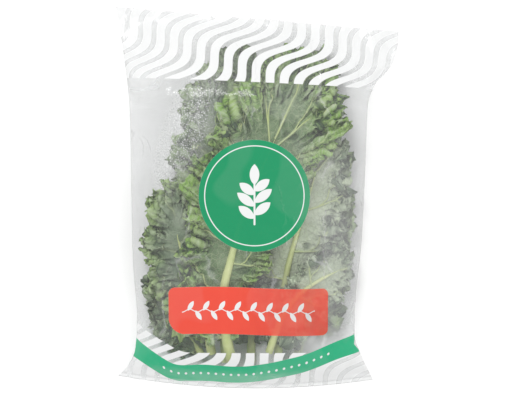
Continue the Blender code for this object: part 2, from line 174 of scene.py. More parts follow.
# Back to front
LEAVES = {
    "kale_leaf_1_back_centre": Leaf(
        midrib=((-0.006, -0.146), (-0.004, -0.080), (0.000, 0.000), (-0.008, 0.062), (-0.012, 0.088)),
        layer=(0.00, 0.20), reach=(0.052, 0.050), tip=0.052, foot=(0.50, 0.50), bare=0.08, stem=0.0040,
        columns=36, seed=3, fine=(0.0012, 28), tint=0.2),
    "kale_leaf_2_back_right": Leaf(
        midrib=((0.034, -0.142), (0.045, -0.095), (0.054, -0.045), (0.057, 0.005), (0.054, 0.034)),
        layer=(0.22, 0.46), reach=(0.040, 0.035), tip=0.032, foot=(0.35, 0.80), bare=0.15, stem=0.0038,
        columns=31, seed=11, fine=(0.0009, 32), curly=(0.30, 0.50), tint=0.3),
    "kale_leaf_3_back_left": Leaf(
        midrib=((-0.028, -0.144), (-0.032, -0.090), (-0.040, -0.020), (-0.042, 0.040), (-0.041, 0.076)),
        layer=(0.23, 0.475), reach=(0.036, 0.044), tip=0.041, foot=(0.30, 0.25), bare=0.24, stem=0.0039,
        columns=37, seed=23, fine=(0.0007, 36), curly=(0.10, 0.26), tint=0.35),
    "kale_leaf_4_low_left": Leaf(
        midrib=((-0.048, -0.140), (-0.060, -0.120), (-0.073, -0.099), (-0.081, -0.083)),
        layer=(0.05, 0.42), reach=(0.026, 0.024), tip=0.022, foot=(0.60, 0.50), bare=0.12, stem=0.0032,
        columns=18, seed=31, fine=(0.0006, 34), curly=(0.25, 0.45), tint=0.1),
    "kale_leaf_5_left": Leaf(
        midrib=((-0.040, -0.136), (-0.047, -0.100), (-0.059, -0.066), (-0.069, -0.034), (-0.071, -0.012)),
        layer=(0.50, 0.735), reach=(0.038, 0.042), tip=0.027, foot=(0.60, 0.35), bare=0.12, stem=0.0040,
        columns=30, seed=47, fine=(0.0006, 44), curly=(0.10, 0.26), tint=0.6),
    "kale_leaf_6_right": Leaf(
        midrib=((0.018, -0.140), (0.020, -0.100), (0.026, -0.062), (0.037, -0.022), (0.048, 0.014),
                (0.053, 0.030)),
        layer=(0.50, 0.735), reach=(0.036, 0.042), tip=0.030, foot=(0.35, 0.45), bare=0.14, stem=0.0038,
        columns=33, seed=59, underside_up=True, fine=(0.00064, 40), curly=(0.42, 0.56), tint=0.0),
    "kale_leaf_7_low_right": Leaf(
        midrib=((0.010, -0.134), (0.020, -0.106), (0.036, -0.084), (0.056, -0.070), (0.073, -0.062)),
        layer=(0.765, 1.00), reach=(0.032, 0.028), tip=0.013, foot=(0.40, 0.70), bare=0.12, stem=0.0034,
        columns=21, seed=67, waist=((0.48, 0.48), (0.55, 1.0)), underside_up=True,
        fine=(0.0006, 40), curly=(0.36, 0.50), tint=0.05),
    "kale_leaf_8_front": Leaf(
        midrib=((-0.022, -0.145), (-0.027, -0.120), (-0.030, -0.090), (-0.022, -0.050), (-0.006, 0.002),
                (0.009, 0.036), (0.015, 0.050)),
        layer=(0.765, 1.00), reach=(0.070, 0.066), tip=0.092, foot=(0.34, 0.24), bare=0.12, stem=0.0047,
        columns=44, seed=71, waist=((0.55, 0.70), (0.46, 0.54)), underside_up=True,
        fine=(0.00066, 48), curly=(0.32, 0.46), tint=0.8),
}

# The sleeve's print, in metres on the flat film: x from the middle of the front, y as on the lying sleeve
STRIPE_PITCH, STRIPE_WHITE = 0.0120, 0.63
STRIPE_WAVE, STRIPE_LEAN, STRIPE_SWING = 0.061, 0.42, 0.66
STRIPE_START = (0.0016, 0.0165)
UPPER_BAND = (0.0989, -0.0425)  # height of its lower edge at x = 0, and that edge's slope
LOWER_BAND = (-0.1345, -0.066, 0.55)  # height of its upper edge, and where and how steeply it climbs
DISC = (-0.0026, 0.0013, 0.0477)  # centre and radius
DISC_RING = (0.0052, 0.00045)  # how far inside the disc's edge its thin ring runs, and half the ring's width
SPRIG_HEIGHT, SPRIG_RISE = 0.052, 0.001  # the sprig's middle lies this much over the disc's
LABEL = (-0.0077, -0.0980, 0.0700, 0.0205)  # centre, half width and half height
LABEL_CORNER, LABEL_HEEL = 0.0055, 0.0095  # radius of its corners, and how much more its lower left one has
VINE_PITCH, VINE_WAVE = 0.0136, 0.0012  # length and height of its waves
VINE_HALF = 0.0004  # half the stalk's width
VINE_LEAF = (0.0098, 0.0040)  # length and width
VINE_REACH, LEAF_REACH = 4.25, 4.1  # how many pitches the stalk and its leaves run to either side
DOT_PITCH, DOT_RADIUS, DOT_REACH = 0.0066, 0.0011, 0.0740
RIBBON = (-0.0110, -0.1540, 0.1010, 0.0080)  # centre, half length and half height
RIBBON_CLIMBS = ((-1, 0.0715, 0.54, 0.012), (1, 0.0080, 0.32, 0.022))  # each side's start, slope and rounding
INK_EDGE = 0.0002  # softness of the bands' edges
DEW = (-0.083, 0.060, 0.050)  # centre of the dewy patch, and its size
DROPS_A_METRE = 560

# The camera stands over the printed face
PIXEL = 0.000875
PICTURE = (512, 400)
SLEEVE_MIDDLE = (257.5, 197.5)
CAMERA_HEIGHT = 1.9
FOCUS_HEIGHT = 0.020  # of the side creases, where a pixel has its size
SENSOR = 36  # millimetres
FLOOR_HALF, FLOOR_GAP = 4.0, 0.0006  # half its width, and how far it is under the sleeve


def through(knots, at):
    """A smooth curve through (place, value) knots that never swings past them, read at the places given."""
    places, values = np.array(knots, float).T
    steps = np.diff(places)
    slopes = np.diff(values) / steps
    flat = slopes[:-1] * slopes[1:] <= 0
    mean = 2 * slopes[:-1] * slopes[1:] / np.where(flat, 1, slopes[:-1] + slopes[1:])
    tangents = np.concatenate([slopes[:1], np.where(flat, 0, mean), slopes[-1:]])
    at = np.clip(at, places[0], places[-1])
    i = np.clip(np.searchsorted(places, at, side="right") - 1, 0, len(steps) - 1)
    t = (at - places[i]) / steps[i]
    h = steps[i]
    return (
        values[i] * (1 + 2 * t) * (1 - t) ** 2
        + values[i + 1] * t * t * (3 - 2 * t)
        + h * tangents[i] * t * (1 - t) ** 2
        - h * tangents[i + 1] * t * t * (1 - t)
    )


def smooth_step(low, high, at):
    t = np.clip((at - low) / (high - low), 0, 1)
    return t * t * (3 - 2 * t)


def noise(x, y, seed):
    """Smooth random heights from -1 to 1 with a cell of one unit."""
    lattice = np.random.default_rng(seed).uniform(-1, 1, (256, 256))
    column, row = np.floor(x).astype(int), np.floor(y).astype(int)
    right, up = smooth_step(0, 1, x - column), smooth_step(0, 1, y - row)
    column, row = column % 256, row % 256
    beside, above = (column + 1) % 256, (row + 1) % 256
    low = lattice[column, row] * (1 - right) + lattice[beside, row] * right
    high = lattice[column, above] * (1 - right) + lattice[beside, above] * right
    return low * (1 - up) + high * up


def lengths_along(points):
    """Distance of each point from the first, along the line through them."""
    return np.concatenate([[0], np.cumsum(np.linalg.norm(np.diff(points, axis=0), axis=1))])


# The sleeve's surfaces, as in the solids

def bottom_y(x):
    return -SLEEVE_LENGTH / 2 + BOTTOM_BELLY * (x / (MOUTH_WIDTH / 2)) ** 2


def mouth_y(x):
    return SLEEVE_LENGTH / 2 - MOUTH_DROP * (x / MOUTH_WIDTH + 0.5)


def half_width(v):
    return (through(RIGHT_CREASE, v) - through(LEFT_CREASE, v)) / 2


def middle_x(v):
    return (through(RIGHT_CREASE, v) + through(LEFT_CREASE, v)) / 2


def sleeve_plan(u, v):
    """Plan of the point at u across (-1 to 1) and v along (0 to 1)."""
    x = middle_x(v) + u * half_width(v)
    return x, bottom_y(x) + v * (mouth_y(x) - bottom_y(x))


def sleeve_place(x, y):
    """The (u, v) of a point in plan."""
    v = np.clip((y - bottom_y(x)) / (mouth_y(x) - bottom_y(x)), 0, 1)
    return (x - middle_x(v)) / half_width(v), v


def front_height(u, v):
    """Height of the printed face's outside."""
    thickness = SLEEVE_THICKNESS * through(THICKNESS_SHARE, v)
    crease = np.maximum(CREASE_LIFT * thickness, CREASE_EDGE / 2) + CREASE_EDGE / 2
    swell = (1 - np.clip(np.abs(u), 0, 1) ** CROWN) ** through(SHOULDER, v)
    return crease + np.maximum(thickness - crease, 0) * swell


def back_height(u, v):
    """Height of the back's outside, which lies flat in the middle and lifts to the creases."""
    thickness = SLEEVE_THICKNESS * through(THICKNESS_SHARE, v)
    crease = np.maximum(CREASE_LIFT * thickness, CREASE_EDGE / 2) - CREASE_EDGE / 2
    turned = np.clip((np.abs(u) - FLAT_SHARE) / (1 - FLAT_SHARE), 0, 1)
    return crease * (1 - np.sqrt(np.clip(1 - turned**BACK_TURN, 0, 1)))


# The leaves' places, as in the solids

def pressed(value, limits):
    """Keeps a distance below limits[1]: it is squeezed from limits[0] on."""
    start, most = limits
    over = np.maximum(np.abs(value) - start, 0)
    squeezed = (most - start) * np.tanh(over / (most - start))
    return np.sign(value) * (np.minimum(np.abs(value), start) + squeezed)


def packed_plan(x, y):
    """A plan point pressed into the sleeve, with its place there: x, y, u and v."""
    u, v = sleeve_place(x, y)
    u, v = pressed(u, REACH_ACROSS), pressed(v, REACH_ALONG)
    return *sleeve_plan(u, v), u, v


def room(u, v):
    """Lowest and highest a leaf may come at a place in the sleeve."""
    low = back_height(u * EDGE_MARGIN, v) + FILM + CLEARANCE
    high = front_height(u * EDGE_MARGIN, v) - FILM - CLEARANCE
    return low, high


def inside(x, y, share):
    """A point of the bunch: its plan pressed into the sleeve, at a share of the depth inside."""
    x, y, u, v = packed_plan(x, y)
    low, high = room(u, v)
    return np.stack([x, y, low + share * (high - low)], axis=-1)


def midrib_plan(leaf, places):
    """Points in plan at the given shares of the way along a leaf's midrib, and the direction at each."""
    plan = np.array(leaf.midrib)
    knots = lengths_along(plan)
    fine = np.linspace(0, knots[-1], 400)
    line = np.stack([through(np.stack([knots, plan[:, k]], axis=1), fine) for k in (0, 1)], axis=1)
    ahead = np.gradient(line, axis=0)
    ahead /= np.linalg.norm(ahead, axis=1)[:, None]
    run = lengths_along(line)
    at = places * run[-1]
    return [np.stack([np.interp(at, run, each[:, k]) for k in (0, 1)], axis=1) for each in (line, ahead)]


def stem_radius(leaf, place):
    return leaf.stem * (1 - (1 - STEM_END_SHARE) * place**1.1)


def midrib_height(leaf, points, radius):
    """Height of the midrib's middle: the middle of its layer, and never so near the film as to touch it."""
    shares = (0, sum(leaf.layer) / 2, 1)
    low, middle, high = (inside(points[:, 0], points[:, 1], share)[:, 2] for share in shares)
    return np.clip(middle, low + radius, np.maximum(high - 1.5 * radius, low + radius))


def margin_reach(leaf, side, share):
    """How far the margin is from the midrib, from the tip (share 0) to the foot (share 1) of one side."""
    reach, foot = leaf.reach[side], leaf.foot[side]
    narrows, waist = leaf.waist[side]
    knots = ((0.0, leaf.tip), (0.30, 0.95 * reach), (narrows, (0.2 + 0.8 * waist) * reach),
             (0.80, waist * (0.55 + 0.45 * foot) * reach), (1.0, foot * reach))
    return through(knots, share)


def fan(leaf, column):
    """The blade's ribs at columns from -1 (left foot) round the tip to 1 (right foot): the share of the
    midrib where each leaves it, its root and heading in plan, how far the margin is along it, and the leaf's
    three random turns."""
    share, side = np.abs(column), np.sign(column)
    place = 1 - (1 - leaf.bare) * share**1.25
    root, forward = midrib_plan(leaf, place)
    across = np.stack([forward[:, 1], -forward[:, 0]], axis=1)
    turn = FAN * share**FAN_OPENING * side
    heading = np.cos(turn)[:, None] * forward + np.sin(turn)[:, None] * across
    turns = np.random.default_rng(leaf.seed).uniform(0, TURN, 3)
    reach = np.where(side < 0, margin_reach(leaf, 0, share), margin_reach(leaf, 1, share))
    lobes = LOBE_DEPTH * np.sin(TURN * LOBES_A_SIDE * share + turns[0] + side)
    reach = reach * (1 + lobes * smooth_step(0.03, 0.12, share))
    return place, root, heading, reach, turns


def ruffle_phase(leaf, column):
    """Distance along the margin and phase of its large ruffles, counted on the solid's own columns."""
    own = np.arange(-leaf.columns, leaf.columns + 1) / leaf.columns
    _, root, heading, reach, turns = fan(leaf, own)
    run = np.interp(column, own, lengths_along(root + reach[:, None] * heading))
    uneven = 0.5 * np.sin(run / 0.041 + turns[1]) + 0.4 * np.sin(run / 0.023 + turns[2])
    return run, TURN * run / RUFFLE_LENGTH + uneven


# The fine blades

def branched(beside, crest):
    """A line that leaves the vein of the ruffle beside it for a ruffle crest of its own."""
    return lambda t: beside + (crest - beside) * smooth_step(BRANCH_LEAVES, BRANCH_ARRIVES, t)


def forked(line, out, start):
    """A line that leaves another one at a row and ends this far from it along the margin."""
    return lambda t: line(t) + out * smooth_step(start, 1.0, t)


def side_veins(run, phase):
    """Lines of the side veins, each as a function that gives its place along the margin at each row, the row
    where it starts, and its width. One runs to every second ruffle straight from the midrib, one forks off it
    to the ruffle beside it, and two small forks leave each of them."""
    first, last = math.ceil(phase[0] / TURN), math.floor(phase[-1] / TURN)
    crests = np.interp(np.arange(first, last + 1) * TURN, phase, run)
    middle = (run[0] + run[-1]) / 2
    lines = []
    for k, crest in enumerate(crests):
        if k % 2 == 0:
            lines.append((lambda t, c=crest: c + 0 * t, 0.0, 1.0))
        else:
            beside = crests[k - 1] if crest < middle or k + 1 == len(crests) else crests[k + 1]
            lines.append((branched(beside, crest), BRANCH_LEAVES, BRANCH_WIDTH))
        parent = lines[-1][0]
        for side in (-1, 1):
            start = FORK_LEAVES + 0.10 * (k % 3) / 2 + 0.04 * side
            lines.append((forked(parent, side * FORK_OUT * RUFFLE_LENGTH, start), start, FORK_WIDTH))
    return lines


def unit(vectors):
    return vectors / np.maximum(np.linalg.norm(vectors, axis=-1), 1e-12)[..., None]


def surface_normals(points):
    """Unit normals of a grid of points by column and row, on the side that faces up on the whole."""
    normal = unit(np.cross(np.gradient(points, axis=0), np.gradient(points, axis=1)))
    return normal * (1 if normal[..., 2].mean() > 0 else -1)


def waved(points, phase, height, swing, lean):
    """A grid of points with one more size of wave along its margin. It stands off the surface by its height,
    swings along the margin, so that steep waves fold over, and leans outwards a quarter of a wave later, so
    that the margin runs in curls."""
    along, outward = (unit(np.gradient(points, axis=axis)) for axis in (0, 1))
    off = (height * np.sin(phase))[..., None] * surface_normals(points)
    shift = (swing * height * np.sin(2 * phase))[..., None] * along
    return points + off + shift + (lean * height * np.cos(phase))[..., None] * outward


def curled(leaf, points, flat, run, row, bend):
    """A blade's points with its curls, frills and crinkles. Their lines wander over the flat blade, and each
    size is bent by the larger one that it rides on."""
    x, y = flat[..., 0], flat[..., 1]
    ahead = np.broadcast_to(run[:, None], points.shape[:2])
    outward = row[None, :] * np.ones_like(ahead)
    starts = (leaf.curly[0], leaf.curly[1], leaf.curly[1] + CRINKLE_DELAY)
    for wave, start in zip(WAVES, starts):
        mean, varies, size, seed = wave.patches
        strength = mean + varies * noise(x / size, y / size, leaf.seed + seed)
        strength = smooth_step(start, start + wave.sets_in, row)[None, :] * strength
        far, size, seed = wave.wander
        wander = far * noise(x / size, y / size, leaf.seed + seed)
        phase = TURN * ahead / wave.length + wave.bend * bend + wave.slant * outward + wander
        points = waved(points, phase, wave.height * strength, wave.swing, wave.lean)
        bend = np.sin(phase)
    return points


def vein_strength(run, phase, row, flat):
    """How strongly the side veins show at each point, by its distance from them over the flat blade."""
    stretch = np.linalg.norm(np.gradient(flat, axis=0), axis=-1) / np.maximum(np.gradient(run), 1e-9)[:, None]
    vein = np.zeros(flat.shape[:2])
    for line, start, width in side_veins(run, phase):
        away = np.abs(run[:, None] - line(row)[None, :]) * stretch
        wide = VEIN_WIDTH * width * (1.15 - row[None, :])
        shown = smooth_step(start - 0.02, start + 0.05, row)[None, :] if start else 1.0
        vein = np.maximum(vein, shown * np.exp(-((away / wide) ** 2)))
    return vein * (1 - smooth_step(0.86, 1.0, row)[None, :])


def fine_blade(leaf):
    """The blade's middle surface as points by column and row, with its rows, each column's place along the
    margin and in the large ruffles, its veins, its crests for the painted highlight and shade of its curls,
    pits and blisters, and the flat plan that it grew from."""
    spacing, rows = leaf.fine
    length = ruffle_phase(leaf, np.array([1.0]))[0][0]
    column = np.linspace(-1, 1, 2 * int(length / spacing / 2) + 1)
    place, root, heading, reach, turns = fan(leaf, column)
    run, phase = ruffle_phase(leaf, column)
    reach = reach * (1 + SCALLOP_DEPTH * np.sin(phase + 1.2))
    reach = reach * (1 - 0.5 * smooth_step(0.93, 1.0, np.abs(column)))
    row = 1 - (1 - np.linspace(0, 1, rows)) ** ROW_CROWDING
    flat = root[:, None] + row[None, :, None] * (reach[:, None] * heading)[:, None]

    # The large ruffle fills the leaf's layer. At the margin it folds over along itself
    big = smooth_step(RUFFLE_START, 1.0, row)[None, :]
    big_phase = phase[:, None] + 0.5 * (row[None, :] - 1)
    along = unit(np.gradient(root + reach[:, None] * heading, axis=0))
    past_tip = smooth_step(0.05, 0.18, np.abs(column))[:, None]
    over = RUFFLE_OVERHANG * big * np.sin(2 * big_phase + turns[1]) * past_tip
    plan = flat + over[..., None] * along[:, None]
    low, high = leaf.layer
    ruffle = BIG_RUFFLE * big * np.sin(big_phase)
    points = inside(plan[..., 0], plan[..., 1], (low + high) / 2 + (high - low) / 2 * ruffle)
    middle = inside(root[:, 0], root[:, 1], (low + high) / 2)[:, 2]
    lift = midrib_height(leaf, root, stem_radius(leaf, place)) - middle
    points[..., 2] += lift[:, None] * (1 - row[None, :]) ** 1.6
    uncurled = points[..., 2].copy()
    points = curled(leaf, points, flat, run, row, np.sin(big_phase + turns[0]))
    # Crest: 1 on the curls' tops and 0 in their hollows. The finish paints the tops paler as a painted
    # highlight and the hollows darker as painted shade
    crest = 0.5 + 0.5 * np.tanh((points[..., 2] - uncurled) / CREST_HEIGHT)

    # Veins stand out of the underside. Between them the blade bulges the other way, and farther in its pits
    vein = vein_strength(run, phase, row, flat)
    x, y = flat[..., 0], flat[..., 1]
    blister = 0.65 * noise(x / BLISTER_SIZE, y / BLISTER_SIZE, leaf.seed + 1)
    blister = np.abs(blister + 0.35 * noise(x / BLISTER_SIZE * 2.3, y / BLISTER_SIZE * 2.3, leaf.seed + 2))
    between = smooth_step(0.08, 0.30, row)[None, :] * (1 - vein)
    pits = between * smooth_step(0.50, 0.74, noise(x / PIT_SIZE, y / PIT_SIZE, leaf.seed + 6))
    # Painted shade: the pits, and the blisters between the veins, lower the crest, so the finish paints them
    # darker
    crest = crest * (1 - 0.85 * pits) - 0.16 * between * blister
    out = 1 if leaf.underside_up else -1
    relief = out * (SIDE_RIB * 0.8 * vein - BLISTER_HEIGHT * between * blister * 1.6 - PIT_DEPTH * pits)
    points = points + relief[..., None] * surface_normals(points)
    return dict(row=row, run=run, phase=phase, points=points, vein=vein, crest=crest, flat=flat)


def map_places(points):
    """Column and row in the maps of each of the points, in one long list."""
    return points[..., :2].reshape(-1, 2).T / MAP_CELL + MAP_CELLS / 2


def plan_map(points):
    """Where a leaf lies in plan, as a map of cells: 1 on it and right beside it, down to 0 some cells off."""
    column, row = map_places(points).round().astype(int)
    lies = np.zeros((MAP_CELLS, MAP_CELLS))
    lies[column, row] = 1
    spread = []
    for _ in range(MAP_SPREAD):
        for axis in (0, 1):
            lies = np.maximum(lies, np.maximum(np.roll(lies, 1, axis), np.roll(lies, -1, axis)))
        spread.append(lies)
    return np.mean(spread, axis=0)[..., None]


def settle(blades):
    """Eases the heights of every blade, so that it stays on its own side of the leaves that it lies on or
    under, and inside the film. Gives each blade its normals."""
    maps = {name: plan_map(blade["points"]) for name, blade in blades.items()}
    for name, blade in blades.items():
        points, layer = blade["points"], LEAVES[name].layer
        u, v = sleeve_place(points[..., 0], points[..., 1])
        low, high = room(np.clip(u, -LAST_ROOM, LAST_ROOM), v)
        share = (points[..., 2] - low) / (high - low)
        for other, lies in maps.items():
            next_layer = LEAVES[other].layer
            side = np.sign(sum(layer) - sum(next_layer))
            if side == 0:
                continue
            parting = (layer[0] + next_layer[1] if side > 0 else layer[1] + next_layer[0]) / 2
            free = PARTING_FREE * (1 - read_grid(lies, *map_places(points)).reshape(share.shape))
            over = side * (parting - share) + PARTING / (high - low) - free + PARTING_EASE
            over = np.maximum(over, 0)
            share = share + side * (over - PARTING_EASE * over / (over + PARTING_EASE))
        away = np.abs(share - 0.5)
        share = 0.5 + np.sign(share - 0.5) * np.minimum(away, 0.5 + PRESSED_FLAT * np.tanh(away))
        points[..., 2] = low + share * (high - low)
        blade["normal"] = surface_normals(points)


def mesh_object(name, vertices, faces, material):
    """An object of quads. One with two corners in the same point becomes a triangle."""
    data = bpy.data.meshes.new(name)
    data.from_pydata(vertices.tolist(), [], [list(dict.fromkeys(face)) for face in faces.tolist()])
    data.shade_smooth()
    data.materials.append(material)
    made = bpy.data.objects.new(name, data)
    bpy.context.scene.collection.objects.link(made)
    return made


def attribute(thing, name, kind, values):
    """A value for each vertex, which the materials read by name."""
    layer = thing.data.attributes.new(name, kind, "POINT")
    field = "vector" if kind == "FLOAT_VECTOR" else "value"
    layer.data.foreach_set(field, np.ascontiguousarray(values).ravel())


def blade_object(name, leaf, blade, material):
    """The blade as a closed skin: an upper and a lower sheet that share no vertex, joined all round."""
    points, normal = blade["points"], blade["normal"]
    columns, rows = points.shape[:2]
    tip = columns // 2
    size = columns * rows
    index = np.arange(size).reshape(columns, rows)
    index[:tip, 0] = index[:tip:-1, 0]  # both halves share the midrib's points
    sheets = [points + normal * BLADE / 2, points - normal * BLADE / 2]
    vertices = np.concatenate([sheet.reshape(-1, 3) for sheet in sheets])
    corners = (index[:-1, :-1], index[:-1, 1:], index[1:, 1:], index[1:, :-1])
    quads = np.stack(corners, axis=-1).reshape(-1, 4)
    loop = np.concatenate([index[0, :-1], index[:-1, -1], index[-1, :0:-1]])
    ahead = np.roll(loop, -1)
    rim = np.stack([loop, ahead, ahead + size, loop + size], axis=-1)
    faces = np.concatenate([quads, quads[:, ::-1] + size, rim[:, ::-1]])
    first = vertices[quads[:, 0]]
    facing = np.cross(vertices[quads[:, 1]] - first, vertices[quads[:, 3]] - first)[:, 2].sum()
    if facing < 0:
        faces = faces[:, ::-1]
    used = np.unique(faces)
    renumber = np.zeros(2 * size, int)
    renumber[used] = np.arange(len(used))
    made = mesh_object(name, vertices[used], renumber[faces], material)
    row = np.broadcast_to(blade["row"], (columns, rows)).ravel()
    own_level = np.full((size, 1), leaf.seed * 0.1)  # so that no two leaves have the same pattern
    flat = np.concatenate([blade["flat"].reshape(-1, 2), own_level], axis=1)
    top = 1.0 if leaf.underside_up else 0.0
    under = np.repeat([top, 1 - top], size)
    # The crest carries the painted highlight and painted shade of the curls, pits and blisters
    for kind, values in (("row", row), ("vein", blade["vein"].ravel()), ("crest", blade["crest"].ravel())):
        attribute(made, kind, "FLOAT", np.tile(values, 2)[used])
    attribute(made, "underside", "FLOAT", under[used])
    attribute(made, "tint", "FLOAT", np.full(len(used), leaf.tint))
    attribute(made, "flat", "FLOAT_VECTOR", np.tile(flat, (2, 1))[used])
    return made


def read_grid(grid, column, row):
    """Values of a grid at fractional columns and rows."""
    c = np.clip(column.astype(int), 0, grid.shape[0] - 2)
    r = np.clip(row.astype(int), 0, grid.shape[1] - 2)
    right, up = (column - c)[:, None], (row - r)[:, None]
    near = grid[c, r] * (1 - up) + grid[c, r + 1] * up
    far = grid[c + 1, r] * (1 - up) + grid[c + 1, r + 1] * up
    return near * (1 - right) + far * right


def path_curve(name, paths):
    """One curve object that holds several paths, each as points with a radius."""
    curve = bpy.data.curves.new(name, "CURVE")
    curve.dimensions = "3D"
    for points, radii in paths:
        spline = curve.splines.new("POLY")
        spline.points.add(len(points) - 1)
        places = np.concatenate([points, np.ones((len(points), 1))], axis=1)
        spline.points.foreach_set("co", places.ravel())
        spline.points.foreach_set("radius", radii)
    made = bpy.data.objects.new(name, curve)
    bpy.context.scene.collection.objects.link(made)
    return made


def rib_tree(material):
    """Node tree that gives every path of a curve its round, tapering body."""
    tree = bpy.data.node_groups.new("Ribs along paths", "GeometryNodeTree")
    tree.interface.new_socket("Geometry", in_out="INPUT", socket_type="NodeSocketGeometry")
    tree.interface.new_socket("Sides", in_out="INPUT", socket_type="NodeSocketInt")
    tree.interface.new_socket("Fullness", in_out="INPUT", socket_type="NodeSocketFloat")
    tree.interface.new_socket("Geometry", in_out="OUTPUT", socket_type="NodeSocketGeometry")
    nodes, link = tree.nodes, tree.links.new
    given, result = nodes.new("NodeGroupInput"), nodes.new("NodeGroupOutput")
    section = nodes.new("GeometryNodeCurvePrimitiveCircle")
    section.mode = "RADIUS"
    link(given.outputs["Sides"], section.inputs["Resolution"])
    link(given.outputs["Fullness"], section.inputs["Radius"])
    body = nodes.new("GeometryNodeCurveToMesh")
    body.inputs["Fill Caps"].default_value = True
    link(given.outputs["Geometry"], body.inputs["Curve"])
    link(section.outputs["Curve"], body.inputs["Profile Curve"])
    if "Scale" in body.inputs:
        radius = nodes.new("GeometryNodeInputRadius")
        link(radius.outputs["Radius"], body.inputs["Scale"])
    real = nodes.new("GeometryNodeRealizeInstances")
    painted = nodes.new("GeometryNodeSetMaterial")
    painted.inputs["Material"].default_value = material
    link(body.outputs["Mesh"], real.inputs["Geometry"])
    link(real.outputs["Geometry"], painted.inputs["Geometry"])
    link(painted.outputs["Geometry"], result.inputs["Geometry"])
    return tree


def grown(paths_object, tree, sides):
    """The mesh object that the rib tree makes of a curve object, which it takes the place of."""
    ribs = paths_object.modifiers.new("Ribs", "NODES")
    ribs.node_group = tree
    sockets = {item.name: item.identifier for item in tree.interface.items_tree if item.in_out == "INPUT"}
    ribs[sockets["Sides"]] = sides
    ribs[sockets["Fullness"]] = FULLNESS
    bpy.context.view_layer.update()
    evaluated = paths_object.evaluated_get(bpy.context.evaluated_depsgraph_get())
    data = bpy.data.meshes.new_from_object(evaluated)
    data.shade_smooth()
    made = bpy.data.objects.new(paths_object.name, data)
    bpy.context.scene.collection.objects.link(made)
    bpy.data.objects.remove(paths_object)
    return made


def vein_paths(leaf, blade):
    """The side veins as paths on the underside of the blade."""
    points, normal = blade["points"], blade["normal"]
    side = 1 if leaf.underside_up else -1
    paths = []
    for line, start, width in side_veins(blade["run"], blade["phase"]):
        end, steps = (FORK_ENDS, FORK_POINTS) if width == FORK_WIDTH else (VEIN_ENDS, VEIN_POINTS)
        row = np.linspace(start, end, steps)
        at = line(row)
        inner = (at > blade["run"][0]) & (at < blade["run"][-1])
        if inner.sum() < 4:
            continue
        row, at = row[inner], at[inner]
        column = np.interp(at, blade["run"], np.arange(points.shape[0]))
        level = np.interp(row, blade["row"], np.arange(points.shape[1]))
        radius = VEIN_RADIUS * width * (1.06 - row) ** 0.8 + FORK_RADIUS
        lift = side * (BLADE / 2 + VEIN_SHOWN * radius)
        middle = read_grid(points, column, level) + read_grid(normal, column, level) * lift[:, None]
        paths.append((middle, radius))
    return paths


def stem_path(leaf):
    """The cut stem and the midrib that it becomes, as one path."""
    place = np.linspace(0, 1, 70)
    points, _ = midrib_plan(leaf, place)
    x, y, _, _ = packed_plan(points[:, 0], points[:, 1])
    radius = stem_radius(leaf, place)
    side = 1 if leaf.underside_up else -1
    bladed = smooth_step(leaf.bare - 0.1, leaf.bare + 0.1, place)
    stands = RIB_SHOWN if leaf.underside_up else RIB_HIDDEN
    z = midrib_height(leaf, points, radius) + side * stands * radius * bladed
    uneven = 1 + 0.05 * noise(place * 22, 0 * place, leaf.seed)
    tapered = 1 - 0.8 * smooth_step(0.82, 1.0, place)
    return np.stack([x, y, z], axis=1), radius * uneven * tapered


def join(first, *others):
    """Makes the other objects part of the first."""
    with bpy.context.temp_override(active_object=first, selected_editable_objects=[first, *others]):
        bpy.ops.object.join()


def grow_leaf(name, leaf, blade, blade_finish, stem_tree, vein_tree):
    """One whole leaf in place of its solid."""
    piece = blade_object(name + "_fine", leaf, blade, blade_finish)
    veins = grown(path_curve(name + "_veins", vein_paths(leaf, blade)), vein_tree, VEIN_SIDES)
    stem = grown(path_curve(name + "_stem", [stem_path(leaf)]), stem_tree, STEM_SIDES)
    join(piece, stem, veins)
    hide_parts(name)
    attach(piece, "root")


# The film

def film_creases(x, y, u, v, seed):
    """Folds and crumples of the film, as heights off its smooth shape. They are sharp-edged facets, larger
    where the film is loose: at its sides, its seal and its mouth."""
    loose = (
        0.22 + 0.9 * smooth_step(0.50, 0.92, np.abs(u)) + 0.9 * smooth_step(0.72, 0.90, v)
        + 0.8 * (1 - smooth_step(0.05, 0.22, v))
    )
    warp = 0.5 * noise(x * 22, y * 22, seed + 4)
    folds = 0
    for k, (across, along, size, bent_across, bent_along) in enumerate((
        (x, y, LONG_FOLD, 1, 1),
        (x + 0.6 * y, y - 0.6 * x, SLANTED_FOLD, 1, 0),
        (x - 0.7 * y, y + 0.7 * x, CROSSING_FOLD, 0, 1),
    )):
        shape = noise(across / size[0] + bent_across * warp, along / size[1] + bent_along * warp, seed + k)
        folds = folds + size[2] * (np.abs(shape) - FOLD_LEVEL)
    crumple = np.abs(noise(x / CRUMPLE[0], y / CRUMPLE[1], seed + 3)) - FOLD_LEVEL
    return loose * folds + CRUMPLE[2] * crumple


